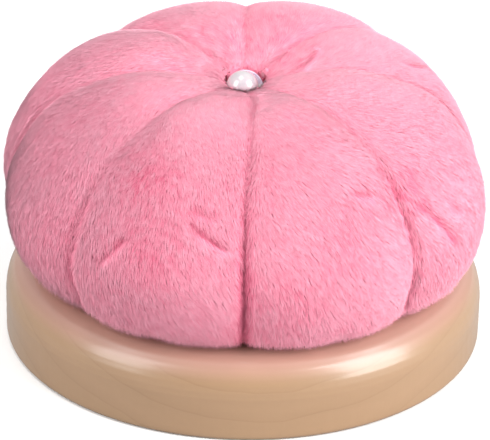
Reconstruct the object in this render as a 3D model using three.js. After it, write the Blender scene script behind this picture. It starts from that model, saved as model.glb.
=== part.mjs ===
// A plush pincushion on a turned wooden base, in millimetres, +Z up, standing on z = 0 with its axis on Z.
// The cushion is a stuffed ball of plush that eight wraps of thread divide into lobes. A pearl on a cup
// sequin is sewn into the dimple on top, and the ball is glued into a shallow recess of the base.
import * as THREE from "three";

// Wooden base: a disc with an upright side, a quarter-ellipse shoulder and a shallow recess on top.
const BASE_RADIUS = 45;
const BASE_HEIGHT = 15.5;
const BASE_SIDE_HEIGHT = 7.5;
const BASE_SHOULDER_WIDTH = 7;
const BASE_FOOT_ROUNDING = 1;
const RECESS_RADIUS = 35;
const RECESS_DEPTH = 3;

// Cushion: eight lobes between eight seams, with the cover's edge gathered to a small opening underneath.
const LOBES = 8;
const COVER_THICKNESS = 2;
const COVER_UNDERSIDE = 14.7;
const GATHER_RADIUS = 5;
const NEEDLE_HOLE_RADIUS = 0.8;
const DIMPLE_FLOOR = 42.8;
const FILL_CHANNEL_RADIUS = 1; // where the centre thread goes up through the stuffing

const GAP = 0.3; // between pieces that touch
const WRAP_THREAD = 0.7; // diameter of the thread round the ball, also used to gather the cover
const SEWING_THREAD = 0.8; // diameter of the thread up the middle
const KNOT_RADIUS = 1.7;
const KNOT_HEIGHT = 1.6;
const GLUE_RADIUS = 26;
const GLUE_THICKNESS = 0.5;

// Pearl and sequin: the sequin stands behind the pearl, so the pearl's drilling points back and down.
const PEARL_RADIUS = 3;
const PEARL_CENTRE = new THREE.Vector3(-0.9, 0, 49.3);
const PEARL_DRILLING = new THREE.Vector3(0.15, 0.78, -0.6).normalize();
const PEARL_HOLE_RADIUS = 0.75;
const PEARL_HOLE_END = -0.3; // the blind hole's end, along the drilling from the pearl's centre
const SEQUIN_RADIUS = 3.65;
const SEQUIN_FLAT_RADIUS = 1.7;
const SEQUIN_CUP = 1.3;
const SEQUIN_THICKNESS = 0.25;
const SEQUIN_HOLE_RADIUS = 0.8;

const AROUND_LOBE = 6; // facets across one lobe
const COVER_STEPS = 30; // facets along the cover's outside
const LINING_STEPS = 18; // facets along the cover's inside and the stuffing, which share their stations
const LINING_START = 0.03; // where those begin, along the outlines from the needle hole
const LOBE_ROUNDNESS = 2.3; // 2 is a parabola from seam to seam, more is fuller

const pincushion = new THREE.Group();
pincushion.name = "pincushion";

const wood = new THREE.MeshStandardMaterial({ color: 0xd9a982, roughness: 0.45, metalness: 0 });
const plush = new THREE.MeshStandardMaterial({ color: 0xfa9fb8, roughness: 0.95, metalness: 0 });
const stuffing = new THREE.MeshStandardMaterial({ color: 0xf4f2ee, roughness: 1, metalness: 0 });
const thread = new THREE.MeshStandardMaterial({ color: 0xf6b9c8, roughness: 0.7, metalness: 0 });
const pearl = new THREE.MeshStandardMaterial({ color: 0xe9e0e2, roughness: 0.15, metalness: 0.1 });
const sequin = new THREE.MeshStandardMaterial({ color: 0xe6d2ee, roughness: 0.1, metalness: 0 });
const glue = new THREE.MeshStandardMaterial({ color: 0xe8e2d2, roughness: 0.4, metalness: 0 });

function add(name, geometry, material) {
  const mesh = new THREE.Mesh(geometry, material);
  mesh.name = name;
  pincushion.add(mesh);
  return mesh;
}

// A solid of revolution about +Z. The outline runs from the bottom of the axis, outside, to the top of
// the axis, or goes round anticlockwise and closes on itself.
function turned(outline, segments) {
  const points = outline.map(([r, z]) => new THREE.Vector2(r, z));
  return new THREE.LatheGeometry(points, segments).rotateX(Math.PI / 2);
}

// Part of an ellipse as [r, z] points, between two angles in degrees: 0 points out from the axis, and 90
// points up.
function ellipseArc(centreR, centreZ, radiusR, radiusZ, from, to, steps) {
  return Array.from({ length: steps + 1 }, (_, i) => {
    const angle = THREE.MathUtils.degToRad(from + ((to - from) * i) / steps);
    return [centreR + radiusR * Math.cos(angle), centreZ + radiusZ * Math.sin(angle)];
  });
}

// A tube of round section along a smooth curve through the given points.
function threadAlong(points, diameter, steps) {
  const section = new THREE.Shape();
  section.absarc(0, 0, diameter / 2, 0, 2 * Math.PI);
  return new THREE.ExtrudeGeometry(section, {
    extrudePath: new THREE.CatmullRomCurve3(points),
    steps,
    curveSegments: 3,
  });
}

// A closed skin over rings of points. The last ring joins the first, so the solid has a hole through it.
function skinOverRings(rings) {
  const around = rings[0].length;
  const positions = rings.flat().flatMap((p) => [p.x, p.y, p.z]);
  const triangles = [];
  rings.forEach((_, i) => {
    const next = (i + 1) % rings.length;
    for (let j = 0; j < around; j++) {
      const k = (j + 1) % around;
      triangles.push(i * around + j, next * around + j, i * around + k);
      triangles.push(next * around + j, next * around + k, i * around + k);
    }
  });
  const geometry = new THREE.BufferGeometry();
  geometry.setAttribute("position", new THREE.Float32BufferAttribute(positions, 3));
  geometry.setIndex(triangles);
  return geometry;
}

// The ball's outline in the plane of a seam and in the middle of a lobe, as (radius, height) from the
// needle hole on top to the gathered opening underneath.
const seamOutline = new THREE.SplineCurve([
  new THREE.Vector2(NEEDLE_HOLE_RADIUS, DIMPLE_FLOOR),
  new THREE.Vector2(2.6, 43.5),
  new THREE.Vector2(5.2, 46.5),
  new THREE.Vector2(8.6, 50.5),
  new THREE.Vector2(17, 52),
  new THREE.Vector2(25.7, 50.8),
  new THREE.Vector2(34.7, 46.8),
  new THREE.Vector2(40.3, 40.4),
  new THREE.Vector2(43.0, 33),
  new THREE.Vector2(42.9, 25),
  new THREE.Vector2(40.6, 18.8),
  new THREE.Vector2(37.5, 17.2),
  new THREE.Vector2(33.5, 16.4),
  new THREE.Vector2(28, 14.9),
  new THREE.Vector2(20, COVER_UNDERSIDE),
  new THREE.Vector2(GATHER_RADIUS, COVER_UNDERSIDE),
]);
const crestOutline = new THREE.SplineCurve([
  new THREE.Vector2(NEEDLE_HOLE_RADIUS, DIMPLE_FLOOR),
  new THREE.Vector2(2.7, 43.6),
  new THREE.Vector2(5.3, 47.8),
  new THREE.Vector2(9.2, 52.5),
  new THREE.Vector2(17.4, 55),
  new THREE.Vector2(26.8, 53.8),
  new THREE.Vector2(36.2, 49),
  new THREE.Vector2(42.8, 41.9),
  new THREE.Vector2(46.6, 33.6),
  new THREE.Vector2(47, 25.3),
  new THREE.Vector2(44.4, 18.4),
  new THREE.Vector2(40, 16.3),
  new THREE.Vector2(34.5, 16),
  new THREE.Vector2(29.5, 14.9),
  new THREE.Vector2(20, COVER_UNDERSIDE),
  new THREE.Vector2(GATHER_RADIUS, COVER_UNDERSIDE),
]);

// A point of an outline at 0 to 1 along it, moved inwards by a depth along the outline's normal.
function outlinePoint(outline, along, depth) {
  const point = outline.getPoint(along);
  const tangent = outline.getTangent(along);
  return new THREE.Vector2(point.x + tangent.y * depth, point.y - tangent.x * depth);
}

// How far the skin is from seam (0) to crest (1) at an angle about Z. Seams lie at every 45 degrees from -Y.
function lobeFullness(angle) {
  const across = ((angle / (2 * Math.PI)) * LOBES) % 1;
  return 1 - Math.abs(1 - 2 * across) ** LOBE_ROUNDNESS;
}

function onRing(radius, height, angle) {
  return new THREE.Vector3(radius * Math.sin(angle), -radius * Math.cos(angle), height);
}

// One ring of the ball's skin, at 0 to 1 from the needle hole to the gathered opening.
function ballRing(along, depth) {
  const seam = outlinePoint(seamOutline, along, depth);
  const crest = outlinePoint(crestOutline, along, depth);
  const around = LOBES * AROUND_LOBE;
  return Array.from({ length: around }, (_, j) => {
    const angle = (j / around) * 2 * Math.PI;
    const point = seam.clone().lerp(crest, lobeFullness(angle));
    return onRing(point.x, point.y, angle);
  });
}

// Rings of the ball's skin from a place along its outlines to the gathered opening, at one depth under
// the surface.
function ballRings(from, steps, depth) {
  return Array.from({ length: steps + 1 }, (_, i) => ballRing(from + ((1 - from) * i) / steps, depth));
}

function plainRing(radius, height) {
  const around = LOBES * AROUND_LOBE;
  return Array.from({ length: around }, (_, j) => onRing(radius, height, (j / around) * 2 * Math.PI));
}

function woodBase() {
  const recessFloor = BASE_HEIGHT - RECESS_DEPTH;
  const footCentre = BASE_RADIUS - BASE_FOOT_ROUNDING;
  const shoulderCentre = BASE_RADIUS - BASE_SHOULDER_WIDTH;
  const shoulderRise = BASE_HEIGHT - BASE_SIDE_HEIGHT;
  const outline = [
    [0, 0],
    ...ellipseArc(footCentre, BASE_FOOT_ROUNDING, BASE_FOOT_ROUNDING, BASE_FOOT_ROUNDING, -90, 0, 3),
    ...ellipseArc(shoulderCentre, BASE_SIDE_HEIGHT, BASE_SHOULDER_WIDTH, shoulderRise, 0, 90, 8),
    [RECESS_RADIUS, BASE_HEIGHT],
    [RECESS_RADIUS, recessFloor],
    [0, recessFloor],
  ];
  add("wood_base", turned(outline, 72), wood);
}

function glueBed() {
  const low = BASE_HEIGHT - RECESS_DEPTH + GAP;
  const high = low + GLUE_THICKNESS;
  const outline = [
    [0, low],
    [GLUE_RADIUS, low],
    [GLUE_RADIUS, high],
    [0, high],
  ];
  add("glue_bed", turned(outline, 32), glue);
}

function plushCover() {
  const outside = ballRings(0, COVER_STEPS, 0);
  const inside = ballRings(LINING_START, LINING_STEPS, COVER_THICKNESS).reverse();
  add("plush_cover", skinOverRings([...outside, ...inside]), plush);
}

// The stuffing fills the cover and has a narrow channel down the middle for the centre thread.
function fibreFill() {
  const outside = ballRings(LINING_START, LINING_STEPS, COVER_THICKNESS + GAP);
  const top = outside[0][0].z;
  const bottom = outside.at(-1)[0].z;
  const channel = [plainRing(FILL_CHANNEL_RADIUS, bottom), plainRing(FILL_CHANNEL_RADIUS, top)];
  add("fibre_fill", skinOverRings([...outside, ...channel]), stuffing);
}

// Eight stretches of the wrapping thread. Each lies in its seam, from beside the needle hole to beside
// the knot.
function ribThreads() {
  const clearance = WRAP_THREAD / 2 + GAP;
  const innerEnd = KNOT_RADIUS + WRAP_THREAD;
  const points = 18;
  for (let i = 0; i < LOBES; i++) {
    const angle = (i / LOBES) * 2 * Math.PI;
    const route = Array.from({ length: points + 1 }, (_, k) => {
      const along = LINING_START + ((1 - LINING_START) * k) / points;
      const point = outlinePoint(seamOutline, along, -clearance);
      return onRing(point.x, point.y, angle);
    });
    route.push(onRing(innerEnd, COVER_UNDERSIDE - clearance, angle));
    add(`rib_thread_${i + 1}`, threadAlong(route, WRAP_THREAD, 30), thread);
  }
}

function gatheringThread() {
  const ring = new THREE.TorusGeometry(GATHER_RADIUS - GAP - WRAP_THREAD / 2, WRAP_THREAD / 2, 6, 28);
  const mesh = add("gathering_thread", ring, thread);
  mesh.position.z = COVER_UNDERSIDE + COVER_THICKNESS / 2;
}

function undersideKnot() {
  const middle = COVER_UNDERSIDE - GAP;
  add("underside_knot", turned(ellipseArc(0, middle, KNOT_RADIUS, KNOT_HEIGHT / 2, -90, 90, 8), 12), thread);
}

// Turns a solid made about +Z so that +Z points along a direction, and puts its origin at a place.
function aim(mesh, direction, place) {
  mesh.quaternion.setFromUnitVectors(new THREE.Vector3(0, 0, 1), direction);
  mesh.position.copy(place);
}

// A half-drilled pearl: its blind hole comes in from below, along the outline's axis.
function pearlBead() {
  const holeEdge = THREE.MathUtils.radToDeg(Math.acos(PEARL_HOLE_RADIUS / PEARL_RADIUS));
  const outline = [
    [0, PEARL_HOLE_END],
    [PEARL_HOLE_RADIUS, PEARL_HOLE_END],
    ...ellipseArc(0, 0, PEARL_RADIUS, PEARL_RADIUS, -holeEdge, 90, 14),
  ];
  aim(add("pearl_bead", turned(outline, 24), pearl), PEARL_DRILLING.clone().negate(), PEARL_CENTRE);
}

// A cup sequin: a flat middle with a hole, and a rim that rises round the pearl.
function cupSequin() {
  const top = -(PEARL_RADIUS + GAP);
  const outline = [
    [SEQUIN_HOLE_RADIUS, top - SEQUIN_THICKNESS],
    [SEQUIN_FLAT_RADIUS, top - SEQUIN_THICKNESS],
    [SEQUIN_RADIUS, top + SEQUIN_CUP - SEQUIN_THICKNESS],
    [SEQUIN_RADIUS, top + SEQUIN_CUP],
    [SEQUIN_FLAT_RADIUS, top],
    [SEQUIN_HOLE_RADIUS, top],
    [SEQUIN_HOLE_RADIUS, top - SEQUIN_THICKNESS],
  ];
  aim(add("cup_sequin", turned(outline, 24), sequin), PEARL_DRILLING.clone().negate(), PEARL_CENTRE);
}

// From above the knot straight up through the stuffing, then over into the sequin and the pearl's blind hole.
function centreThread() {
  const alongDrilling = (distance) => PEARL_CENTRE.clone().addScaledVector(PEARL_DRILLING, distance);
  const points = [
    new THREE.Vector3(0, 0, COVER_UNDERSIDE + 1),
    new THREE.Vector3(0, 0, 30),
    new THREE.Vector3(0, 0, DIMPLE_FLOOR),
    new THREE.Vector3(0.3, 1.1, DIMPLE_FLOOR + 1.4),
    alongDrilling(PEARL_RADIUS + 1.2),
    alongDrilling(PEARL_RADIUS),
    alongDrilling(1),
  ];
  add("centre_thread", threadAlong(points, SEWING_THREAD, 24), thread);
}

woodBase();
glueBed();
plushCover();
fibreFill();
ribThreads();
gatheringThread();
undersideKnot();
pearlBead();
cupSequin();
centreThread();

export default pincushion;
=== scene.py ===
"""Looks of a pincushion: a lobed ball of pink plush on a turned wooden base, topped by a pearl."""

import math
from types import SimpleNamespace

import bpy
import numpy as np
from mathutils import Matrix, Vector


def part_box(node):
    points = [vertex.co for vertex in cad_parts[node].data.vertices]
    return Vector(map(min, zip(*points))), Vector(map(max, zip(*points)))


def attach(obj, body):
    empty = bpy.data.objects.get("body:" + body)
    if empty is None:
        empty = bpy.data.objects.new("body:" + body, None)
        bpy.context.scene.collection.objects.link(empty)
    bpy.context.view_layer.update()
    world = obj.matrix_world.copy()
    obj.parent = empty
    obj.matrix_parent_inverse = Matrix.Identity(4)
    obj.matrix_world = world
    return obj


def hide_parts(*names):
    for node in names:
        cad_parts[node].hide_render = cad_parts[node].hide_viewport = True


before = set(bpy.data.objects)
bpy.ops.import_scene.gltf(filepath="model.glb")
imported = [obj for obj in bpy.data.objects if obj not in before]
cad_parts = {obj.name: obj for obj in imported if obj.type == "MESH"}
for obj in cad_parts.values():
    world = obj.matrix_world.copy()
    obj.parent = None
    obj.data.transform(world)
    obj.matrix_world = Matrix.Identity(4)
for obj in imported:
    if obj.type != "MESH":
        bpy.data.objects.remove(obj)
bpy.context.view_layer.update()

# Sizes below are in millimetres, and MM turns them into metres.
MM = 0.001


def corners(node):
    """The lowest and highest corners of a CAD node, in millimetres."""
    low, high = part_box(node)
    return np.array(low) / MM, np.array(high) / MM


# -------- sizes

BASE_RADIUS = corners("wood_base")[1][0]
BASE_HEIGHT = corners("wood_base")[1][2]
BASE_SIDE_HEIGHT = 7.5
BASE_SHOULDER_WIDTH = 7.0
BASE_SHOULDER_FULLNESS = 2.3
BASE_FOOT_ROUNDING = 1.0
RECESS_RADIUS = 35.0
RECESS_DEPTH = 3.0
RECESS_EDGE = 0.5

LOBES = 8
COVER_THICKNESS = 0.9
FILL_GAP = 0.4
WRAP_THREAD = 0.7
SEWING_THREAD = 0.8

PEARL_RADIUS = 3.0
PEARL_CENTRE = (corners("pearl_bead")[0] + corners("pearl_bead")[1]) / 2
PEARL_DRILLING = np.array([0.15, 0.78, -0.60])  # from its centre towards the mouth of its drilling
PEARL_HOLE_RADIUS = 0.75
PEARL_HOLE_END = -0.3  # seen from the pearl's centre
PEARL_HOLE_CORNER = 0.1
PEARL_SEGMENTS = 96
PEARL_SWELL = 0.004  # a share of its radius
PEARL_LUMPS = (2.5, 31)  # size and seed
SEQUIN_RADIUS = 3.65
SEQUIN_FLAT_RADIUS = 1.7
SEQUIN_CUP = 1.3  # how far the rim rises off the flat
SEQUIN_CURVE = 1.2  # above 1 it steepens towards the rim
SEQUIN_THICKNESS = 0.25
SEQUIN_HOLE_RADIUS = 0.8
SEQUIN_FLUTES = 12
SEQUIN_FLUTE_DEPTH = 0.06
SEQUIN_GAP = 0.3  # between the flat and the pearl
HOLLOW_OFFSET = 1.0  # from the pearl's centre, towards the sequin
HOLLOW_SHIFT = 0.4  # to the right, where the sequin shows
HOLLOW_RADIUS = 3.6

# The pile's outer surface in the plane of a seam and in the middle of a lobe, as (radius, height)
# from the needle hole on top to the gathered opening underneath. Both lists have the same stations.
SEAM_OUTLINE = [
    (0.8, 44.0), (2.5, 46.8), (3.0, 50.2), (7.2, 51.9),
    (17.0, 53.1), (25.7, 51.5), (34.7, 47.4), (40.1, 41.1),
    (43.2, 33.6), (43.4, 27.0), (41.6, 20.4), (38.8, 17.2),
    (34.4, 16.2), (28.0, 14.9), (20.0, 14.7), (5.0, 14.7),
]
CREST_OUTLINE = [
    (0.8, 44.0), (2.5, 46.8), (3.0, 50.3), (7.4, 52.3),
    (17.3, 54.8), (26.2, 53.1), (35.5, 48.7), (41.4, 42.8),
    (45.8, 34.8), (46.6, 26.6), (44.3, 19.4), (40.0, 16.9),
    (35.0, 16.2), (29.0, 14.9), (20.0, 14.7), (5.0, 14.7),
]
LOBE_ROUNDNESS = 2.2
LOBE_VALLEY = 0.92  # below 1 the lobes meet in sharper seams
LOBE_FULLNESS = [0.93, 0.9, 0.25, 0.94, 1.0, 1.3, 0.56, 0.82]  # from the front seam round

# The ball leans: its top rises to the back and a little to the right, and sits left of the base's axis.
LEAN_FOOT = 16.0
LEAN_REACH = 25.0  # the lean grows over this height above its foot
LEAN_BACK = 0.095
LEAN_RIGHT = 0.031
LEAN_LEFT_SHIFT = 0.5

# The front seam drifts to the right on its way up to the pearl.
DRIFT_LOW = 0.4
DRIFT_HIGH = 1.6
DRIFT_REACH = 0.35  # how far round the ball the drift is felt, in radians
DRIFT_CHANGES = (0.08, 0.5)  # from high to low between these shares of the way down
DRIFT_FADES_IN = (3.0, 8.0)  # between these distances from the ball's axis

# A place on the ball is (share of the way from needle hole to gather, lobes round from the front seam).
# Folds in the plush run from one place to another, and have a depth.
CREASES = [
    ((0.405, -0.33), (0.447, -0.07), 0.9),
    ((0.384, -0.34), (0.396, -0.18), 0.5),
    ((0.436, -0.63), (0.516, -0.80), 0.6),
    ((0.380, 0.66), (0.398, 0.83), 0.6),
    ((0.430, 1.09), (0.555, 1.31), 1.0),
    ((0.456, 1.29), (0.509, 1.37), 0.5),
    ((0.050, 2.90), (0.140, 3.00), 0.45),
    ((0.120, 2.05), (0.170, 2.63), 0.5),
    ((0.300, 2.27), (0.370, 2.40), 0.8),
]
CREASE_WIDTH = 0.9
CREASE_STATIONS = 25
# Patches where handling has roughed the pile up have a size and a strength.
ROUGHED = [
    ((0.345, -0.66), 6.0, 1.0),
    ((0.460, -0.45), 8.0, 0.55),
    ((0.410, 1.06), 4.0, 0.8),
    ((0.120, 2.60), 7.0, 0.8),
    ((0.150, 3.60), 9.0, 0.8),
    ((0.130, 4.50), 9.0, 0.8),
    ((0.140, 5.40), 7.0, 0.6),
    ((0.500, 0.25), 7.0, 0.35),
    ((0.480, 5.40), 9.0, 0.5),
    ((0.450, 3.40), 8.0, 0.5),
]

ROWS = 97
COLUMNS = LOBES * 20
STATION_SAMPLES = 1200

NOISE_SIZE = 32  # lumps to each side of the noise's table, after which it repeats
NOISE_SHIFT = 1000.0

THREAD_PLIES = 3
THREAD_RELIEF = 0.14  # half of how far the valleys between plies sink, as a share of the radius
THREAD_TURN = 2.2  # one turn of the plies takes this many diameters
THREAD_SIDES = 12

# -------- numbers along curves and over space


def catmull_rom(points, stations):
    """A smooth curve through points, at stations from 0 to 1 that are as far apart as the points."""
    p = np.asarray(points, float)
    padded = np.vstack([2 * p[0] - p[1], p, 2 * p[-1] - p[-2]])
    place = np.clip(np.asarray(stations, float), 0, 1) * (len(p) - 1)
    i = np.minimum(place.astype(int), len(p) - 2)
    t = (place - i)[:, None]
    a, b, c, d = padded[i], padded[i + 1], padded[i + 2], padded[i + 3]
    squared = (2 * a - 5 * b + 4 * c - d) * t**2
    cubed = (3 * b - a - 3 * c + d) * t**3
    return 0.5 * (2 * b + (c - a) * t + squared + cubed)


def even_stations(points, count):
    """Stations of catmull_rom that split the curve into stretches of equal length."""
    fine = np.linspace(0, 1, STATION_SAMPLES)
    length = travelled(catmull_rom(points, fine))
    return np.interp(np.linspace(0, length[-1], count), length, fine)


def travelled(path):
    """The distance along a path at each of its points."""
    steps = np.linalg.norm(np.diff(path, axis=0), axis=1)
    return np.concatenate([[0], np.cumsum(steps)])


def around_axis(count):
    """Angles in radians that split a turn into equal parts."""
    return np.arange(count) / count * 2 * math.pi


def unit(vectors):
    """The vectors, each made one long."""
    return vectors / np.maximum(np.linalg.norm(vectors, axis=-1, keepdims=True), 1e-12)


def ramp(value, low, high):
    """0 below low, 1 above high, and a smooth step between."""
    t = np.clip((value - low) / (high - low), 0, 1)
    return t * t * (3 - 2 * t)


def blend(first, second, share):
    """A share of the way from the first number to the second."""
    return first + (second - first) * share


def lumps(points, cell, seed):
    """Smooth noise from -1 to 1 at points, with lumps about one cell across."""
    table = np.random.default_rng(seed).uniform(-1, 1, (NOISE_SIZE, NOISE_SIZE, NOISE_SIZE))
    place = np.asarray(points, float) / cell + NOISE_SHIFT
    low = np.floor(place).astype(int)
    t = place - low
    t = t * t * (3 - 2 * t)
    total = 0
    for corner in np.ndindex(2, 2, 2):
        index = (low + corner) % NOISE_SIZE
        weight = np.prod(np.where(np.array(corner) == 1, t, 1 - t), axis=-1)
        total = total + weight * table[index[..., 0], index[..., 1], index[..., 2]]
    return total


# -------- meshes


def new_object(name, data):
    """An object in the scene."""
    made = bpy.data.objects.new(name, data)
    bpy.context.scene.collection.objects.link(made)
    return made


def new_piece(name, points, faces, materials):
    """A mesh object from points in millimetres and faces that all have the same number of corners."""
    points = np.asarray(points, float).reshape(-1, 3) * MM
    faces = np.asarray(faces, np.int32)
    mesh = bpy.data.meshes.new(name)
    mesh.vertices.add(len(points))
    mesh.vertices.foreach_set("co", points.ravel())
    mesh.loops.add(faces.size)
    mesh.loops.foreach_set("vertex_index", faces.ravel())
    mesh.polygons.add(len(faces))
    mesh.polygons.foreach_set("loop_start", np.arange(len(faces), dtype=np.int32) * faces.shape[1])
    mesh.update(calc_edges=True)
    mesh.polygons.foreach_set("use_smooth", np.full(len(faces), True))
    for material in materials:
        mesh.materials.append(material)
    return new_object(name, mesh)


def ring_faces(rings, around, closed=False):
    """Quads over rings of points. Closed joins the last ring to the first."""
    i = np.arange(rings if closed else rings - 1)[:, None] * around
    j = np.arange(around)[None, :]
    following, beside = (i + around) % (rings * around), (j + 1) % around
    quads = [i + j, following + j, following + beside, i + beside]
    return np.stack([np.broadcast_to(q, (len(i), around)) for q in quads], -1).reshape(-1, 4)


def turned(outline, segments):
    """Rings of points of a closed outline of (radius, height) that is turned about the axis."""
    angles = around_axis(segments)
    r, z = np.asarray(outline, float).T
    across, up = np.outer(r, np.cos(angles)), np.outer(r, np.sin(angles))
    return np.stack([across, up, np.repeat(z[:, None], segments, 1)], -1)


def stand_for(node, piece):
    """Puts a piece on the only body, and hides the CAD node that it replaces."""
    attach(piece, "root")
    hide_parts(node)
    return piece


def turned_piece(node, name, rings, material):
    """A piece that replaces a CAD node, from rings of points round a closed outline."""
    faces = ring_faces(*rings.shape[:2], closed=True)
    return stand_for(node, new_piece(name, rings, faces, [material]))


def arc(centre, radii, start, end, steps, fullness=2.0):
    """(radius, height) points on an ellipse, between angles in degrees. Above 2 it is fuller."""
    angles = np.radians(np.linspace(start, end, steps + 1))
    across, up = np.cos(angles), np.sin(angles)
    swell = (np.abs(across) ** fullness + np.abs(up) ** fullness) ** (-1 / fullness)
    return list(zip(centre[0] + radii[0] * across * swell, centre[1] + radii[1] * up * swell))


def steady_frame(path, closed):
    """Two unit vectors across a path at each point, which turn no more than the path makes them."""
    ahead, behind = np.roll(path, -1, 0), np.roll(path, 1, 0)
    if not closed:
        ahead[-1], behind[0] = path[-1], path[0]
    tangent = unit(ahead - behind)
    upright = abs(tangent[0][2]) >= 0.9
    carried = np.array([1.0, 0.0, 0.0]) if upright else np.array([0.0, 0.0, 1.0])
    side = np.zeros_like(path)
    for k, t in enumerate(tangent):
        carried = carried - t * np.dot(carried, t)
        carried = carried / np.linalg.norm(carried)
        side[k] = carried
    return side, np.cross(tangent, side)


def twisted_thread(path, diameter, closed=False):
    """Rings of points of a plied thread along a path of points."""
    path = np.asarray(path, float)
    side, up = steady_frame(path, closed)
    length = travelled(path)
    whole = length[-1] + (np.linalg.norm(path[0] - path[-1]) if closed else 0)
    turns = max(1, round(whole / (THREAD_TURN * diameter)))
    angles = around_axis(THREAD_SIDES)
    plies = np.cos(THREAD_PLIES * angles)
    radius = diameter / 2 * (1 - THREAD_RELIEF + THREAD_RELIEF * plies)
    twisted = angles[None, :] + (length / whole * turns * 2 * math.pi)[:, None]
    across = side[:, None, :] * (radius * np.cos(twisted))[..., None]
    return path[:, None, :] + across + up[:, None, :] * (radius * np.sin(twisted))[..., None]


def thread_piece(node, slot, name, path, diameter, material):
    """A thread that replaces a CAD node. Each of its two ends is closed with a fan of triangles."""
    rings = twisted_thread(path, diameter)
    around = rings.shape[1]
    points = rings.reshape(-1, 3)
    ends = np.array([rings[0].mean(0), rings[-1].mean(0)])
    first, last = len(points), len(points) + 1
    j = np.arange(around)
    k = (j + 1) % around
    base = len(points) - around
    start_cap = np.stack([np.full(around, first), j, k], -1)
    end_cap = np.stack([np.full(around, last), base + k, base + j], -1)
    quads = ring_faces(*rings.shape[:2])
    faces = np.concatenate([quads[:, [0, 1, 2]], quads[:, [0, 2, 3]], start_cap, end_cap])
    return stand_for(node, new_piece(name, np.vstack([points, ends]), faces, [material]))


# -------- materials


def new_material(name, recipe, *colours):
    """A material whose shader gets its inputs from a recipe, one of the functions below."""
    material = bpy.data.materials.new(name)
    material.use_nodes = True
    tree = material.node_tree
    set_inputs(tree, tree.nodes["Principled BSDF"], recipe(tree, *colours))
    return material


def set_inputs(tree, node, inputs):
    """Sets a node's inputs. Each is either a value or another node's output, which is linked."""
    for key, value in inputs.items():
        if isinstance(value, bpy.types.NodeSocket):
            tree.links.new(value, node.inputs[key])
        else:
            node.inputs[key].default_value = value


def add_node(tree, kind, inputs, **settings):
    """A new node with its settings and inputs."""
    made = tree.nodes.new(kind)
    for key, value in settings.items():
        setattr(made, key, value)
    set_inputs(tree, made, inputs)
    return made


def object_space(tree):
    """The object's own coordinates, in metres."""
    return add_node(tree, "ShaderNodeTexCoord", {}).outputs["Object"]


def stretched(tree, where, scale):
    """Coordinates multiplied by a scale for each axis. Patterns grow long where it is small."""
    return add_node(tree, "ShaderNodeMapping", {"Vector": where, "Scale": scale}).outputs["Vector"]


def noise(tree, where, scale, detail=3.0, roughness=0.5, distortion=0.0):
    """Smooth noise from 0 to 1."""
    made = add_node(tree, "ShaderNodeTexNoise", {
        "Vector": where,
        "Scale": scale,
        "Detail": detail,
        "Roughness": roughness,
        "Distortion": distortion,
    })
    return made.outputs["Fac"]


def colour_ramp(tree, value, stops):
    """A colour ramp over (position, colour) stops."""
    made = add_node(tree, "ShaderNodeValToRGB", {"Fac": value})
    elements = made.color_ramp.elements
    while len(elements) < len(stops):
        elements.new(0.5)
    for element, (position, colour) in zip(elements, stops):
        element.position = position
        element.color = (*colour, 1.0)
    return made.outputs["Color"]


def spread(tree, value, low, high):
    """Maps 0 to 1 onto low to high."""
    made = add_node(tree, "ShaderNodeMapRange", {"Value": value, "To Min": low, "To Max": high})
    return made.outputs["Result"]


def bump(tree, height, distance, strength):
    """A normal that follows a height from 0 to 1, which stands for a distance in millimetres."""
    inputs = {"Height": height, "Distance": distance * MM, "Strength": strength}
    return add_node(tree, "ShaderNodeBump", inputs).outputs["Normal"]


def opaque(colour):
    """A colour that can be set on a socket. Another node's output stays what it is."""
    return colour if isinstance(colour, bpy.types.NodeSocket) else (*colour, 1.0)


def mix_colour(tree, share, first, second):
    """A share of the second colour over the first."""
    made = add_node(tree, "ShaderNodeMix", {0: share}, data_type="RGBA")
    set_inputs(tree, made, {6: opaque(first), 7: opaque(second)})
    return made.outputs[2]


WOOD_PALE = (0.37, 0.220, 0.118)
WOOD_EARLY = (0.355, 0.213, 0.112)
WOOD_LATE = (0.345, 0.203, 0.106)
WOOD_RING = (0.30, 0.168, 0.084)
WOOD_RAY = (0.33, 0.193, 0.10)
WOOD_CLOUD = (0.37, 0.228, 0.126)
WOOD_PORE = (0.285, 0.162, 0.085)
# Painted pink bounce light from the plush, brighter and pinker than the wood itself.
WOOD_PAINTED_BOUNCE = (0.49, 0.258, 0.205)
PAINTED_BOUNCE_HEIGHTS = (11.0, 15.2)  # between which painted pink bounce light from the plush fades in


def growth_rings(tree, where):
    """Bent rings about a pith line that lies above the base along Y, each with a sharp late edge."""
    wander = add_node(tree, "ShaderNodeTexNoise", {"Vector": where, "Scale": 16.0, "Detail": 2.0})
    bent = add_node(tree, "ShaderNodeVectorMath", {
        0: wander.outputs["Color"], 1: (0.006, 0.03, 0.006), 2: where,
    }, operation="MULTIPLY_ADD")
    pith = add_node(tree, "ShaderNodeMapping", {
        "Vector": bent.outputs["Vector"], "Location": (-0.008, 0, -0.085), "Scale": (1, 0.03, 1),
    })
    rings = add_node(tree, "ShaderNodeTexWave", {
        "Vector": pith.outputs["Vector"],
        "Scale": 52.0,
        "Distortion": 1.4,
        "Detail": 2.0,
        "Detail Scale": 1.2,
    }, wave_type="RINGS", rings_direction="Y", wave_profile="SAW")
    return colour_ramp(tree, rings.outputs["Fac"], [
        (0.0, WOOD_EARLY), (0.6, WOOD_PALE), (0.92, WOOD_LATE), (1.0, WOOD_RING),
    ])


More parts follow.
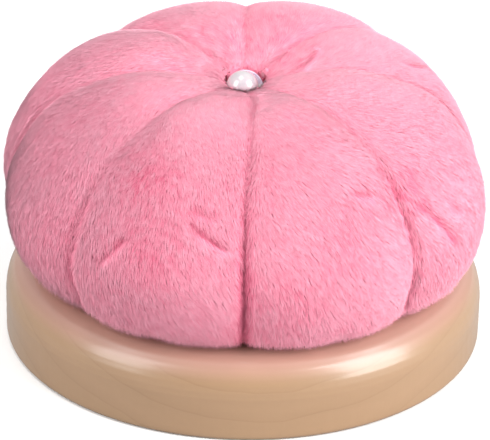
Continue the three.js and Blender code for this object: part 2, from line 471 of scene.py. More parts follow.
def varnished_wood(tree):
    """Pale varnished wood, with painted pink bounce light from the plush towards the top, which also
    lightens the shade under the ball.
    """
    where = object_space(tree)
    fibre = noise(tree, stretched(tree, where, (1, 0.05, 1)), 900.0, 3.0)
    rays = noise(tree, stretched(tree, where, (1, 1, 0.08)), 700.0, 4.0, 0.65)
    clouds = noise(tree, where, 38.0, 2.0)
    colour = growth_rings(tree, where)
    tints = ((rays, 0.45, WOOD_RAY), (clouds, 0.5, WOOD_CLOUD), (fibre, 0.25, WOOD_PORE))
    for pattern, most, tint in tints:
        colour = mix_colour(tree, spread(tree, pattern, 0.0, most), colour, tint)
    height = add_node(tree, "ShaderNodeSeparateXYZ", {"Vector": where}).outputs["Z"]
    # Painted pink bounce light from the plush, fading in towards the top.
    upper = add_node(tree, "ShaderNodeMapRange", {
        "Value": height,
        "From Min": PAINTED_BOUNCE_HEIGHTS[0] * MM,
        "From Max": PAINTED_BOUNCE_HEIGHTS[1] * MM,
        "To Max": 0.95,
    }, interpolation_type="SMOOTHSTEP").outputs["Result"]
    grain = mix_colour(tree, 0.5, rays, fibre)
    return {
        "Base Color": mix_colour(tree, upper, colour, WOOD_PAINTED_BOUNCE),
        "Roughness": spread(tree, rays, 0.36, 0.5),
        "Normal": bump(tree, grain, 0.05, 0.5),
        "Coat Weight": 0.8,
        "Coat Roughness": 0.22,
        "Coat IOR": 1.5,
    }


def knitted_ground(tree):
    """The plush's knitted ground, seen only between the tufts of pile."""
    where = object_space(tree)
    mottle = noise(tree, where, 260.0, 4.0, 0.6)
    knit = add_node(tree, "ShaderNodeTexVoronoi", {"Vector": where, "Scale": 1500.0}, feature="F1")
    colour = colour_ramp(tree, mottle, [(0.3, (0.90, 0.24, 0.35)), (0.7, (0.94, 0.30, 0.41))])
    return {
        "Base Color": colour,
        "Roughness": 0.95,
        "Specular IOR Level": 0.1,
        "Sheen Weight": 0.3,
        "Normal": bump(tree, knit.outputs["Distance"], 0.2, 0.8),
    }


def pile_shade(tree, colour):
    """One shade of pile. It is plain, because strands of several shades make the texture."""
    return {
        "Base Color": opaque(colour),
        "Roughness": 0.8,
        "Specular IOR Level": 0.05,
        "Sheen Weight": 0.5,
        "Sheen Roughness": 0.5,
        "Sheen Tint": (1.0, 0.78, 0.85, 1.0),
    }


def polyester_thread(tree, colour):
    """Matt polyester thread with darker flecks, painted shade between its fibres."""
    fibres = noise(tree, object_space(tree), 5200.0, 3.0, 0.6)
    # Painted shade between the fibres.
    painted_gap_shade = tuple(0.7 * channel for channel in colour)
    return {
        "Base Color": mix_colour(tree, spread(tree, fibres, 0.0, 0.7), colour, painted_gap_shade),
        "Roughness": 0.55,
        "Sheen Weight": 0.3,
        "Normal": bump(tree, fibres, 0.05, 0.6),
    }


def nacre(tree):
    """Nacre: a pale lilac grey body with soft clouds under a clear, very smooth skin."""
    clouds = noise(tree, object_space(tree), 420.0, 3.0, 0.5, 0.6)
    colour = colour_ramp(tree, clouds, [
        (0.3, (0.41, 0.375, 0.405)), (0.5, (0.48, 0.44, 0.47)), (0.7, (0.53, 0.495, 0.495)),
    ])
    return {
        "Base Color": colour,
        "Roughness": spread(tree, clouds, 0.22, 0.34),
        "Subsurface Weight": 0.1,
        "Subsurface Radius": (1.0, 0.8, 0.8),
        "Subsurface Scale": 0.4 * MM,
        "Specular IOR Level": 0.9,
        "Coat Weight": 1.0,
        "Coat Roughness": 0.08,
        "Coat IOR": 1.6,
        "Sheen Weight": 0.15,
        "Normal": bump(tree, clouds, 0.02, 0.3),
    }


def iridescent_film(tree):
    """Iridescent plastic film, which lets a little light through. Its pale lilac base colour is a
    painted iridescent reflection, on a real thin film.
    """
    shimmer = noise(tree, object_space(tree), 700.0, 2.0)
    # Painted iridescent reflection: a pale lilac base colour on a film that is really clear.
    colour = colour_ramp(tree, shimmer, [
        (0.35, (0.90, 0.70, 0.94)), (0.5, (0.94, 0.82, 0.98)), (0.65, (0.95, 0.78, 0.90)),
    ])
    return {
        "Base Color": colour,
        "Roughness": spread(tree, shimmer, 0.25, 0.38),
        "Alpha": 0.95,
        "Specular IOR Level": 0.5,
        "Sheen Weight": 0.4,
        "Thin Film Thickness": 380.0,
    }


def matted_wadding(tree):
    """Off-white wadding with matted fibres."""
    fibres = noise(tree, stretched(tree, object_space(tree), (1, 1, 0.3)), 900.0, 5.0, 0.7, 1.5)
    colour = colour_ramp(tree, fibres, [(0.3, (0.74, 0.72, 0.69)), (0.7, (0.92, 0.91, 0.88))])
    return {
        "Base Color": colour,
        "Roughness": 0.95,
        "Sheen Weight": 0.4,
        "Normal": bump(tree, fibres, 0.6, 0.8),
    }


def dried_glue(tree):
    """Yellowed hot glue with ripples."""
    ripples = noise(tree, object_space(tree), 160.0, 3.0, 0.5, 1.0)
    colour = colour_ramp(tree, ripples, [(0.3, (0.78, 0.73, 0.60)), (0.7, (0.86, 0.82, 0.72))])
    return {
        "Base Color": colour,
        "Roughness": spread(tree, ripples, 0.25, 0.45),
        "Normal": bump(tree, ripples, 0.3, 0.6),
    }


def pale_floor(tree):
    """A pale floor that shows nearly white, and throws less light up at the object than it shows."""
    tone = noise(tree, object_space(tree), 3.0, 2.0)
    shown = colour_ramp(tree, tone, [(0.0, (0.94, 0.94, 0.94)), (1.0, (0.97, 0.97, 0.97))])
    seen = add_node(tree, "ShaderNodeLightPath", {}).outputs["Is Camera Ray"]
    colour = mix_colour(tree, seen, (0.48, 0.48, 0.48), shown)
    return {"Base Color": colour, "Roughness": 0.9, "Specular IOR Level": 0.1}


# -------- the ball's skin

PILE_HEIGHT = 0.55  # how far the pile's tips stand off the backing
SEAM_GROOVE = 1.5  # how deep the pile sinks low down the front seam
SEAM_GROOVE_TOP = 0.15
SEAM_GROOVE_WIDTH = 0.75
SEAM_STRENGTH = [1.0, 0.5, 0.4, 0.6, 0.6, 0.4, 0.5, 0.4]  # from the front seam round
THREAD_BED = WRAP_THREAD + 0.1  # how much further the thread pulls the backing in

# Shares of the way down the ball between which something begins, changes or ends.
GROOVE_DEEPENS = (0.25, 0.5)
SUNK_BEGINS = (0.02, 0.10)
SUNK_ENDS = (0.66, 0.74)


def lean(points):
    """Tips the ball's upper part back and to the right, about where it rests."""
    points = np.array(points, float)
    share = np.clip((points[..., 2] - LEAN_FOOT) / LEAN_REACH, 0, 1)
    points[..., 2] += share * (LEAN_BACK * points[..., 1] + LEAN_RIGHT * points[..., 0])
    points[..., 0] -= share * LEAN_LEFT_SHIFT
    return points


def ball_grid(fullness):
    """The pile's outer surface: rows from needle hole to gather, and columns round them from -Y."""
    stations = even_stations(CREST_OUTLINE, ROWS)
    seam = catmull_rom(SEAM_OUTLINE, stations)
    crest = catmull_rom(CREST_OUTLINE, stations)
    around = np.arange(COLUMNS) / COLUMNS * LOBES
    lobe = around.astype(int)
    across = around - lobe
    full = (1 - np.abs(1 - 2 * across) ** LOBE_ROUNDNESS) ** LOBE_VALLEY
    full = full * np.array(LOBE_FULLNESS)[lobe] * fullness
    outline = seam[:, None, :] * (1 - full)[None, :, None] + crest[:, None, :] * full[None, :, None]
    r, z = outline[..., 0], outline[..., 1]
    angle = around / LOBES * 2 * math.pi
    from_front = (angle + math.pi) % (2 * math.pi) - math.pi
    drift = blend(DRIFT_HIGH, DRIFT_LOW, ramp(np.linspace(0, 1, ROWS), *DRIFT_CHANGES))
    felt = ramp(r, *DRIFT_FADES_IN) * np.exp(-((from_front / DRIFT_REACH) ** 2))
    angle = angle + drift[:, None] / r * felt
    return lean(np.stack([r * np.sin(angle), -r * np.cos(angle), z], -1))


def directions(grid):
    """Unit vectors down the ball, round it and out of its skin, at each point of a grid."""
    down = unit(np.gradient(grid, axis=0))
    around = unit(np.roll(grid, -1, 1) - np.roll(grid, 1, 1))
    out = unit(np.cross(down, around))
    return down, np.cross(out, down), out


SIM_SCALE = 10  # the cloth is simulated larger, because the solver is made for metres
SIM_FRAMES = 20
SIM_QUALITY = 5
SIM_PRESSURE = 4.0
SIM_SHRINKING = -0.005  # below 0 the cloth grows
SIM_CAP = 1.3
SIM_SMOOTHING = 2
SIM_START = 0.88  # the lobes' fullness before they swell
SIM_FREE = (0.1, 0.8)  # shares of the rows between which the cloth is pinned at its seams only


def inflate(grid):
    """Cloth simulation: the skin is pinned along its seams and openings, and swells between them."""
    sim = new_piece("cushion_sim", grid * SIM_SCALE, ring_faces(*grid.shape[:2]), [])
    pins = sim.vertex_groups.new(name="pins")
    row, column = np.divmod(np.arange(ROWS * COLUMNS), COLUMNS)
    held = (column % (COLUMNS // LOBES) == 0) | (row < ROWS * SIM_FREE[0]) | (row > ROWS * SIM_FREE[1])
    pins.add(np.flatnonzero(held).tolist(), 1.0, "REPLACE")
    cloth = sim.modifiers.new("cloth", "CLOTH").settings
    cloth.vertex_group_mass = "pins"
    cloth.use_pressure = True
    cloth.uniform_pressure_force = SIM_PRESSURE
    cloth.effector_weights.gravity = 0
    cloth.shrink_min = SIM_SHRINKING
    cloth.quality = SIM_QUALITY
    scene = bpy.context.scene
    for step in range(1, SIM_FRAMES + 1):
        scene.frame_set(step)
    solved = sim.evaluated_get(bpy.context.evaluated_depsgraph_get()).data
    points = np.empty(ROWS * COLUMNS * 3)
    solved.vertices.foreach_get("co", points)
    bpy.data.objects.remove(sim)
    scene.frame_set(1)
    moved = points.reshape(grid.shape) / MM / SIM_SCALE - grid
    for _ in range(SIM_SMOOTHING):
        beside = np.roll(moved, 1, 1) + np.roll(moved, -1, 1)
        moved[1:-1] = (2 * moved[1:-1] + moved[:-2] + moved[2:] + beside[1:-1]) / 6
    reach = np.linalg.norm(moved, axis=-1, keepdims=True)
    return grid + moved * np.minimum(1, SIM_CAP / np.maximum(reach, 1e-9))


def finer(grid):
    """One smooth subdivision of a grid that closes round its columns."""
    half = (-np.roll(grid, 1, 1) + 9 * grid + 9 * np.roll(grid, -1, 1) - np.roll(grid, -2, 1)) / 16
    wide = np.stack([grid, half], 2).reshape(grid.shape[0], -1, 3)
    padded = np.vstack([2 * wide[:1] - wide[1:2], wide, 2 * wide[-1:] - wide[-2:-1]])
    middle = (-padded[:-3] + 9 * padded[1:-2] + 9 * padded[2:-1] - padded[3:]) / 16
    tall = np.empty((2 * len(wide) - 1, *wide.shape[1:]))
    tall[0::2] = wide
    tall[1::2] = middle
    return tall


def from_seam(points, around):
    """How far round the ball points are from a seam. Around counts lobes from the front seam."""
    share = around % 1
    return np.minimum(share, 1 - share) * 2 * math.pi / LOBES * np.hypot(points[..., 0], points[..., 1])


def seam_strength(around):
    """How strongly the nearest seam is pulled in."""
    return np.array(SEAM_STRENGTH)[np.round(around).astype(int) % LOBES]


def on_skin(surface, along, around):
    """Points of a grid, by shares of the way down and lobes round from the front seam."""
    rows, columns = surface.shape[:2]
    return sample(surface, np.asarray(along) * (rows - 1), np.asarray(around) / LOBES % 1 * columns)


def crease_depth(surface, points):
    """How deep the plush's folds are at points on or near a grid."""
    depth = np.zeros(points.shape[:-1])
    share = np.linspace(0, 1, CREASE_STATIONS)
    for start, end, deep in CREASES:
        along, around = (np.interp(share, (0, 1), pair) for pair in zip(start, end))
        line = on_skin(surface, along, around)
        gap = np.linalg.norm(points[..., None, :] - line, axis=-1)
        taper = np.sqrt(np.sin(share * math.pi))[gap.argmin(-1)]
        depth = np.maximum(depth, deep * taper * np.exp(-((gap.min(-1) / CREASE_WIDTH) ** 2)))
    return depth


def roughed(surface, points):
    """How far the pile is roughed up at points on a grid, from 0 to 1."""
    total = np.zeros(points.shape[:-1])
    for (along, around), size, strength in ROUGHED:
        centre = on_skin(surface, [along], [around])
        gap = np.linalg.norm(points - centre, axis=-1) / size
        total = np.maximum(total, strength * np.exp(-(gap**2)))
    return total


def sunk(surface, thread_bed):
    """The grid under the pile, lowered by its height, in folds, at seams and for their thread."""
    out = directions(surface)[2]
    rows, columns = surface.shape[:2]
    along = np.linspace(0, 1, rows)[:, None]
    around = np.arange(columns) / columns * LOBES
    shown = ramp(along, *SUNK_BEGINS) * (1 - ramp(along, *SUNK_ENDS))
    deepest = blend(SEAM_GROOVE_TOP, SEAM_GROOVE, ramp(along, *GROOVE_DEEPENS))
    pulled = deepest * seam_strength(around) + thread_bed
    groove = pulled * np.exp(-((from_seam(surface, around) / SEAM_GROOVE_WIDTH) ** 2))
    depth = (PILE_HEIGHT + groove + crease_depth(surface, surface)) * shown
    return surface - out * depth[..., None]


def pressed_by_pearl(points):
    """Pushes the plush aside and down from the pearl and its sequin, which sit in a hollow."""
    middle = PEARL_CENTRE + unit(PEARL_DRILLING) * HOLLOW_OFFSET + np.array([HOLLOW_SHIFT, 0, 0])
    away = points - middle
    above = np.maximum(away[..., 2:], 0) * [0, 0, 1]  # kept, so nothing is pushed up
    gap = np.linalg.norm(away - above, axis=-1, keepdims=True)
    return middle + above + (away - above) * np.maximum(1, HOLLOW_RADIUS / gap)


def build_surface():
    """The ball as the tips of its pile draw it, with its lobes but without grooves or folds."""
    grid = inflate(ball_grid(SIM_START))
    return pressed_by_pearl(finer(grid))


def plush_cover(skin):
    """The backing with its thickness, open at the needle hole and at the gather."""
    lining = skin - directions(skin)[2] * COVER_THICKNESS
    rings = np.concatenate([skin, lining[::-1]])
    material = new_material("plush_backing", knitted_ground)
    piece = turned_piece("plush_cover", "plush_cover_skin", rings, material)


# -------- the pile

PILE_DENSITY = 23.0  # strands to a square millimetre
PILE_SEED = 100
PILE_ROWS = (0.066, 0.74)  # the shares of the rows between which it grows
PILE_LENGTH = 1.8
STRAND_WIDTH = 0.21
STRAND_FLATNESS = 0.08  # of the top's strands: their thickness as a share of their width
STRAND_FLATNESS_LOW = 0.33
ROOT_DEPTH = 0.3
BASE_CLEARANCE = 0.1
# From darkest to lightest. The darker ones are painted shade deep in seams and folds, and also vary the
# pile's tone at random; the lightest are the tips.
PILE_SHADES = {
    "pile_darkest_tone_and_shade": (0.84, 0.17, 0.28),
    "pile_dark_tone_and_shade": (0.89, 0.255, 0.365),
    "pile_middle": (0.905, 0.32, 0.43),
    "pile_light": (0.915, 0.375, 0.485),
}

# Angles in degrees. A lift is how far strands rise off the backing, and a turn changes their heading.
PILE_LIFT = 17.0
PILE_LIFT_TOP = 3.0
FRINGE_LIFT = 62.0  # the most that the tips just above the wood stand out further
RIM_LIFT = 20.0  # how far the pile behind the pearl stands up further
NAP_ANGLE = 24.0  # how far the nap turns off straight down, towards the next lobe
SEAM_TURN = 14.0  # how far it turns towards a seam, to close over it
SEAM_CLOSING = 1.5  # how near a seam it does so, in millimetres
TUFT_TURN = 9.0  # how far tufts turn apart
STRAND_TURN = 5.0  # how far strands in a tuft turn apart
PATCH_TURN = 20.0  # how far the nap drifts over wide patches
STRAND_LIFT = 2.0
TUFT_LIFT = 2.0
TUFT_LIFT_LOW = 3.0  # added to it low on the ball
# Added where the pile is roughed up.
ROUGH_TUFT_TURN = 14.0
ROUGH_STRAND_TURN = 8.0
ROUGH_LIFT = 2.0  # to all strands, and to the tufts' own lift

# The sizes in millimetres and the seeds of the lumps that vary the pile.
TUFT = (0.9, 11)
TURN = (1.2, 12)
PATCH = (9.0, 13)

# Shares by which strands differ from the usual length and width.
TUFT_LENGTH = 0.08
SHORTEST, LONGEST = -0.15, 0.1
NARROWEST, WIDEST = 0.8, 1.2
FRINGE_FINENESS = 0.5  # how much thinner the fringe's strands are
FRINGE_SPREAD = 0.8  # below 1 more of its strands stand far out

# Shading normals.
RIM_NORMAL = (0.0, -0.3, 0.6)  # how far it turns up and forward behind the pearl
TOP_NORMAL = 1.0  # how far it turns up round the top
NORMAL_LEAN = 0.5  # how far it follows the strand's own lie, and not the backing's
NORMAL_ROUND = 0.3  # how far it turns round the strand

# Where each strand's shade comes from, counted in shades.
SHADE_USUAL = 2.45
SHADE_TUFT = 0.6
SHADE_ROUGH_TUFT = 0.9
SHADE_PATCH = 0.5
SHADE_STRAND = 0.4
SHADE_ROUGH = 0.9
# Painted shade: how many shades darker the strands are at the deepest of a seam or fold.
PAINTED_HOLLOW_SHADE = 2.3
SEAM_SHADE_TOP = 0.3  # the painted shade's depth in a seam at the top of the ball, as a share of that low down
SEAM_SHADE_WIDTH = 0.6  # in millimetres
SEAM_SHADE_WIDENING = 0.7

# Shares of the way down the ball between which something changes, and other ranges in millimetres.
LOW_BEGINS = (0.28, 0.5)
LIFT_GROWS = (0.15, 0.35)
FLATNESS_CHANGES = (0.3, 0.5)
UPRIGHT_ENDS = (0.1, 0.28)
RIM_ENDS = (0.05, 0.10)
RIM_BEHIND = (-1.0, 2.0)
FRINGE_HEIGHTS = (18.0, 22.5)


def sample(field, row, column):
    """Values of a grid between its points. Columns wrap round."""
    i = np.minimum(row.astype(int), field.shape[0] - 2)
    j = column.astype(int)
    s = (row - i)[:, None]
    t = (column - j)[:, None]
    j, k = j % field.shape[1], (j + 1) % field.shape[1]
    near = field[i, j] * (1 - t) + field[i, k] * t
    far = field[i + 1, j] * (1 - t) + field[i + 1, k] * t
    return near * (1 - s) + far * s


def scatter(skin, lobe, rng):
    """Fractional rows and columns of a lobe's strands, evenly spread over its area."""
    rows, columns = skin.shape[:2]
    first, last = (int(rows * share) for share in PILE_ROWS)
    width = columns // LOBES
    row = np.arange(first, last)
    column = np.arange(lobe * width, (lobe + 1) * width)
    here = skin[row][:, column % columns]
    below = skin[row + 1][:, column % columns]
    beside = skin[row][:, (column + 1) % columns]
    area = np.linalg.norm(np.cross(below - here, beside - here), axis=-1)
    count = np.floor(area * PILE_DENSITY + rng.random(area.shape)).astype(int)
    i = np.repeat(np.repeat(row, len(column)), count.ravel())
    j = np.repeat(np.tile(column, len(row)), count.ravel())
    return i + rng.random(len(i)), j + rng.random(len(j))


def clear_of_base(points):
    """Lifts points that would be inside the wooden base onto its top and shoulder."""
    r = np.hypot(points[..., 0], points[..., 1])
    beyond = np.clip((r - (BASE_RADIUS - BASE_SHOULDER_WIDTH)) / BASE_SHOULDER_WIDTH, 0, 1)
    rise = BASE_HEIGHT - BASE_SIDE_HEIGHT
    wood = BASE_SIDE_HEIGHT + rise * np.sqrt(1 - beyond**2) + BASE_CLEARANCE
    points[..., 2] = np.where(r < BASE_RADIUS, np.maximum(points[..., 2], wood), points[..., 2])
    return points


def strand_places(skin, fields, lobe, rng):
    """Where a lobe's strands stand, and how the ball lies and its pile varies there."""
    down, _, out = fields
    row, column = scatter(skin, lobe, rng)
    at = SimpleNamespace(count=len(row))
    at.along = row / len(skin)
    at.around = column / skin.shape[1] * LOBES
    at.root = sample(skin, row, column)
    at.out = unit(sample(out, row, column))
    at.down = unit(sample(down, row, column))
    at.low = ramp(at.along, *LOW_BEGINS)
    at.rim = (1 - ramp(at.along, *RIM_ENDS)) * ramp(at.root[:, 1], *RIM_BEHIND)
    at.off_seam = from_seam(at.root, at.around)
    at.tuft = lumps(at.root, *TUFT)
    at.turn = lumps(at.root, *TURN)
    at.patch = lumps(at.root, *PATCH)
    at.rough = roughed(skin, at.root)
    return at


def strand_heading(at, rng):
    """How far each strand turns off straight down, in radians."""
    closing = np.exp(-((at.off_seam / SEAM_CLOSING) ** 2))
    to_seam = np.where(at.around % 1 > 0.5, SEAM_TURN, -SEAM_TURN)
    nap = NAP_ANGLE * (1 - closing) + to_seam * closing
    tuft = (TUFT_TURN + ROUGH_TUFT_TURN * at.rough) * at.turn
    strand = rng.normal(0, 1, at.count) * (STRAND_TURN + ROUGH_STRAND_TURN * at.rough)
    return np.radians(nap + (tuft + strand) + PATCH_TURN * at.patch)


def strand_lift(at, fringe, rng):
    """How far each strand rises off the backing, in radians."""
    usual = blend(PILE_LIFT_TOP, PILE_LIFT, ramp(at.along, *LIFT_GROWS))
    rise = usual + FRINGE_LIFT * fringe + RIM_LIFT * at.rim + ROUGH_LIFT * at.rough
    tuft = (TUFT_LIFT + TUFT_LIFT_LOW * at.low + ROUGH_LIFT * at.rough) * at.tuft
    return np.radians(rise + tuft + rng.normal(0, STRAND_LIFT, at.count))


def strand_shades(skin, at, rng):
    """Which of the pile's shades each strand has: a tone that varies at random and where the pile is
    roughed, with painted shade deep in seams and folds.
    """
    # Painted shade in the seams, strongest low down, and in the folds.
    strength = seam_strength(at.around) * blend(SEAM_SHADE_TOP, 1, at.low)
    width = SEAM_SHADE_WIDTH + SEAM_SHADE_WIDENING * at.low
    painted_seam_shade = strength * np.exp(-((at.off_seam / width) ** 2))
    depth = np.maximum(painted_seam_shade, crease_depth(skin, at.root))
    lumpy = (SHADE_TUFT + SHADE_ROUGH_TUFT * at.rough) * at.tuft + SHADE_PATCH * at.patch
    strand = rng.normal(0, SHADE_STRAND, at.count)
    tone = SHADE_USUAL + lumpy + strand - SHADE_ROUGH * at.rough - PAINTED_HOLLOW_SHADE * depth
    return np.clip(np.floor(tone), 0, len(PILE_SHADES) - 1).astype(np.int32)


def strand_shapes(at, rng):
    """Each strand's points, three round its root and one at its tip, and their shading normals."""
    heading = strand_heading(at, rng)
    fringe = (1 - ramp(at.root[:, 2], *FRINGE_HEIGHTS)) * rng.random(at.count) ** FRINGE_SPREAD
    lift = strand_lift(at, fringe, rng)
    length = PILE_LENGTH * (1 + TUFT_LENGTH * at.tuft + rng.uniform(SHORTEST, LONGEST, at.count))
    width = STRAND_WIDTH / 2 * rng.uniform(NARROWEST, WIDEST, at.count) * (1 - FRINGE_FINENESS * fringe)
    flatness = blend(STRAND_FLATNESS, STRAND_FLATNESS_LOW, ramp(at.along, *FLATNESS_CHANGES))

    beside = np.cross(at.out, at.down)
    flat = at.down * np.cos(heading)[:, None] + beside * np.sin(heading)[:, None]
    ahead = flat * np.cos(lift)[:, None] + at.out * np.sin(lift)[:, None]
    side = np.cross(at.out, flat)
    up = np.cross(ahead, side)
    upright = TOP_NORMAL * (1 - ramp(at.along, *UPRIGHT_ENDS))
    turned_up = at.rim[:, None] * np.array(RIM_NORMAL) + upright[:, None] * np.array([0, 0, 1])
    top = unit(at.out + NORMAL_LEAN * up + turned_up)
    points = np.empty((at.count, 4, 3))
    normals = np.empty((at.count, 4, 3))
    for corner in range(3):
        angle = math.radians(30 + 120 * corner)
        reach = side * math.cos(angle) + up * (math.sin(angle) * flatness)[:, None]
        points[:, corner] = at.root - ahead * ROOT_DEPTH + reach * width[:, None]
        normals[:, corner] = unit(top + NORMAL_ROUND * reach)
    points[:, 3] = clear_of_base(at.root + ahead * length[:, None])
    normals[:, 3] = top
    return points, normals


def pile(skin, fields, lobe, materials):
    """One lobe's pile of closed spikes, flat on top, that lie over along the nap and across grooves."""
    rng = np.random.default_rng(PILE_SEED + lobe)
    at = strand_places(skin, fields, lobe, rng)
    points, normals = strand_shapes(at, rng)
    spike = np.array([(0, 2, 1), (0, 1, 3), (1, 2, 3), (2, 0, 3)])
    faces = (np.arange(at.count)[:, None, None] * 4 + spike[None]).reshape(-1, 3)
    piece = new_piece(f"plush_pile_{lobe + 1}", points, faces, materials)
    shades = strand_shades(skin, at, rng)
    piece.data.polygons.foreach_set("material_index", np.repeat(shades, len(spike)))
    piece.data.normals_split_custom_set_from_vertices(normals.reshape(-1, 3))
    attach(piece, "root")


def plush_pile(surface, ground):
    """The pile of all lobes, which stands on the ground and lies along the surface."""
    materials = [new_material(name, pile_shade, shade) for name, shade in PILE_SHADES.items()]
    fields = directions(surface)
    for lobe in range(LOBES):
        pile(ground, fields, lobe, materials)


# -------- threads, knot, stuffing and glue

WRAP_ROWS = (0.04, 0.96)  # the shares of the cover's rows between which the thread lies
WRAP_POINTS = 420
GATHER_POINTS = 240
GATHER_WOBBLE = 0.05
KNOT_POINTS = 500
KNOT_TURNS = (9, 7)  # round it and up it
KNOT_THREAD = SEWING_THREAD * 0.8  # pulled thin
STRAND_POINTS = 320
STRAND_HEIGHTS = (30, 42.8)  # where the centre thread still runs straight up
STRAND_BEND = (0.3, 1.1, 44.2)  # where it turns towards the pearl
STRAND_APPROACH = 1.2  # how far outside the pearl it is in line with the drilling
STRAND_END = 1.0  # how far from the pearl's centre it ends
SEWING_COLOUR = (0.86, 0.5, 0.58)
# A deep pink, painted shade: the wrapping thread is coloured like the shaded groove it lies in.
WRAP_GROOVE_SHADE = (0.78, 0.2, 0.3)
FILL_LUMPS = ((0.25, 4.0, 21), (0.15, 1.6, 22))  # depth, size and seed
FILL_CLEARANCE = 0.3  # further inside the cover, for the lumps
FILL_ROWS = (0.08, 0.93)  # the shares of the rows that the stuffing fills
CHANNEL_RADIUS = 1.0
CHANNEL_RINGS = 12
CHANNEL_END = 0.02  # the share of the channel's height left free at each end
# Shares of the glue's radius and height, from the middle of its underside over its edge to its top.
GLUE_PROFILE = [
    (0.02, 0.0), (0.6, 0.0), (0.97, 0.0), (1.0, 0.3), (0.97, 0.8), (0.9, 1.0), (0.5, 0.8), (0.02, 0.9),
]
GLUE_SEGMENTS = 160


def rib_threads(skin):
    """Eight stretches of the wrapping thread, each pressed into the backing along its seam."""
    material = new_material("thread_wrap", polyester_thread, WRAP_GROOVE_SHADE)
    out = directions(skin)[2]
    rows, columns = skin.shape[:2]
    first, last = (int(rows * share) for share in WRAP_ROWS)
    for i in range(LOBES):
        column = i * columns // LOBES
        path = skin[first:last, column] + out[first:last, column] * WRAP_THREAD / 2
        dense = catmull_rom(path[::2], np.linspace(0, 1, WRAP_POINTS))
        names = (f"rib_thread_{i + 1}", "wrap_thread", f"wrap_thread_{i + 1}")
        thread_piece(*names, dense, WRAP_THREAD, material)


def gathering_thread():
    """The loop that draws the cover's edge together, a little uneven."""
    low, high = corners("gathering_thread")
    angles = around_axis(GATHER_POINTS)
    radius = (high[0] - low[0]) / 2 - WRAP_THREAD / 2 + GATHER_WOBBLE * np.sin(9 * angles)
    height = (low[2] + high[2]) / 2 + GATHER_WOBBLE * np.cos(7 * angles)
    path = np.stack([radius * np.cos(angles), radius * np.sin(angles), height], -1)
    rings = twisted_thread(path, WRAP_THREAD, closed=True)
    material = new_material("thread_gather", polyester_thread, SEWING_COLOUR)
    turned_piece("gathering_thread", "gathering_loop", rings, material)


def underside_knot():
    """A few crossing turns of thread pulled into a flat ball."""
    low, high = corners("underside_knot")
    reach = (high - low) / 2 - KNOT_THREAD / 2
    turn = np.linspace(0, 1, KNOT_POINTS) * 2 * math.pi
    long, tall = (turn * turns for turns in KNOT_TURNS)
    path = (low + high) / 2 + np.stack([
        reach[0] * np.cos(long) * np.cos(tall * 0.5),
        reach[1] * np.sin(long) * np.cos(tall * 0.5),
        reach[2] * np.sin(tall * 0.5),
    ], -1)
    material = new_material("thread_knot", polyester_thread, SEWING_COLOUR)
    thread_piece("underside_knot", "sewing_thread", "sewing_knot", path, KNOT_THREAD, material)


def centre_thread():
    """Straight up through the stuffing, then over through the sequin and into the pearl."""
    start = corners("centre_thread")[0][2]
    drilling = unit(PEARL_DRILLING)
    route = [(0, 0, height) for height in (start, *STRAND_HEIGHTS)]
    route.append(STRAND_BEND)
    for away in (PEARL_RADIUS + STRAND_APPROACH, PEARL_RADIUS, STRAND_END):
        route.append(PEARL_CENTRE + drilling * away)
    path = catmull_rom(route, np.linspace(0, 1, STRAND_POINTS))
    material = new_material("thread_sewing", polyester_thread, SEWING_COLOUR)
    thread_piece("centre_thread", "sewing_thread", "sewing_strand", path, SEWING_THREAD, material)


def fibre_fill(skin):
    """Lumpy wadding that follows the cover, with a channel up its middle for the thread."""
    coarse = skin[::2, ::2]
    lumpy = sum(rise * lumps(coarse, size, seed) for rise, size, seed in FILL_LUMPS)
    depth = COVER_THICKNESS + FILL_GAP + FILL_CLEARANCE + lumpy
    inside = coarse - directions(coarse)[2] * depth[..., None]
    along = np.linspace(0, 1, len(coarse))
    keep = inside[(along > FILL_ROWS[0]) & (along < FILL_ROWS[1])]
    angle = around_axis(keep.shape[1])
    ring = CHANNEL_RADIUS * np.stack([np.sin(angle), -np.cos(angle), np.zeros_like(angle)], -1)
    low, high = keep[-1][:, 2].mean(), keep[0][:, 2].mean()
    shares = np.linspace(CHANNEL_END, 1 - CHANNEL_END, CHANNEL_RINGS)
    channel = [ring + np.array([0, 0, blend(low, high, share)]) for share in shares]
    material = new_material("polyester_wadding", matted_wadding)
    rings = np.concatenate([keep, channel])
    turned_piece("fibre_fill", "stuffing_wadding", rings, material)


def glue_bed():
    """A poured disc of glue with an uneven edge."""
    low, high = corners("glue_bed")
    angle = around_axis(GLUE_SEGMENTS)
    edge = high[0] * (0.97 + 0.02 * np.sin(3 * angle + 1) + 0.01 * np.sin(7 * angle))
    rings = []
    for share, height in GLUE_PROFILE:
        z = np.full(GLUE_SEGMENTS, blend(low[2], high[2], height))
        rings.append(np.stack([edge * share * np.cos(angle), edge * share * np.sin(angle), z], -1))
    material = new_material("dried_glue", dried_glue)
    turned_piece("glue_bed", "glue_pool", np.array(rings), material)


# -------- base, pearl and sequin

BASE_SEGMENTS = 288
BASE_AXIS_HOLE = 0.02  # too small to see, so that the outline closes on itself
TOOL_MARK = 0.02  # the depth of the tool's ripples
TOOL_RIPPLES = (5.1, 4.3)  # in radians to a millimetre, up the side and across the top


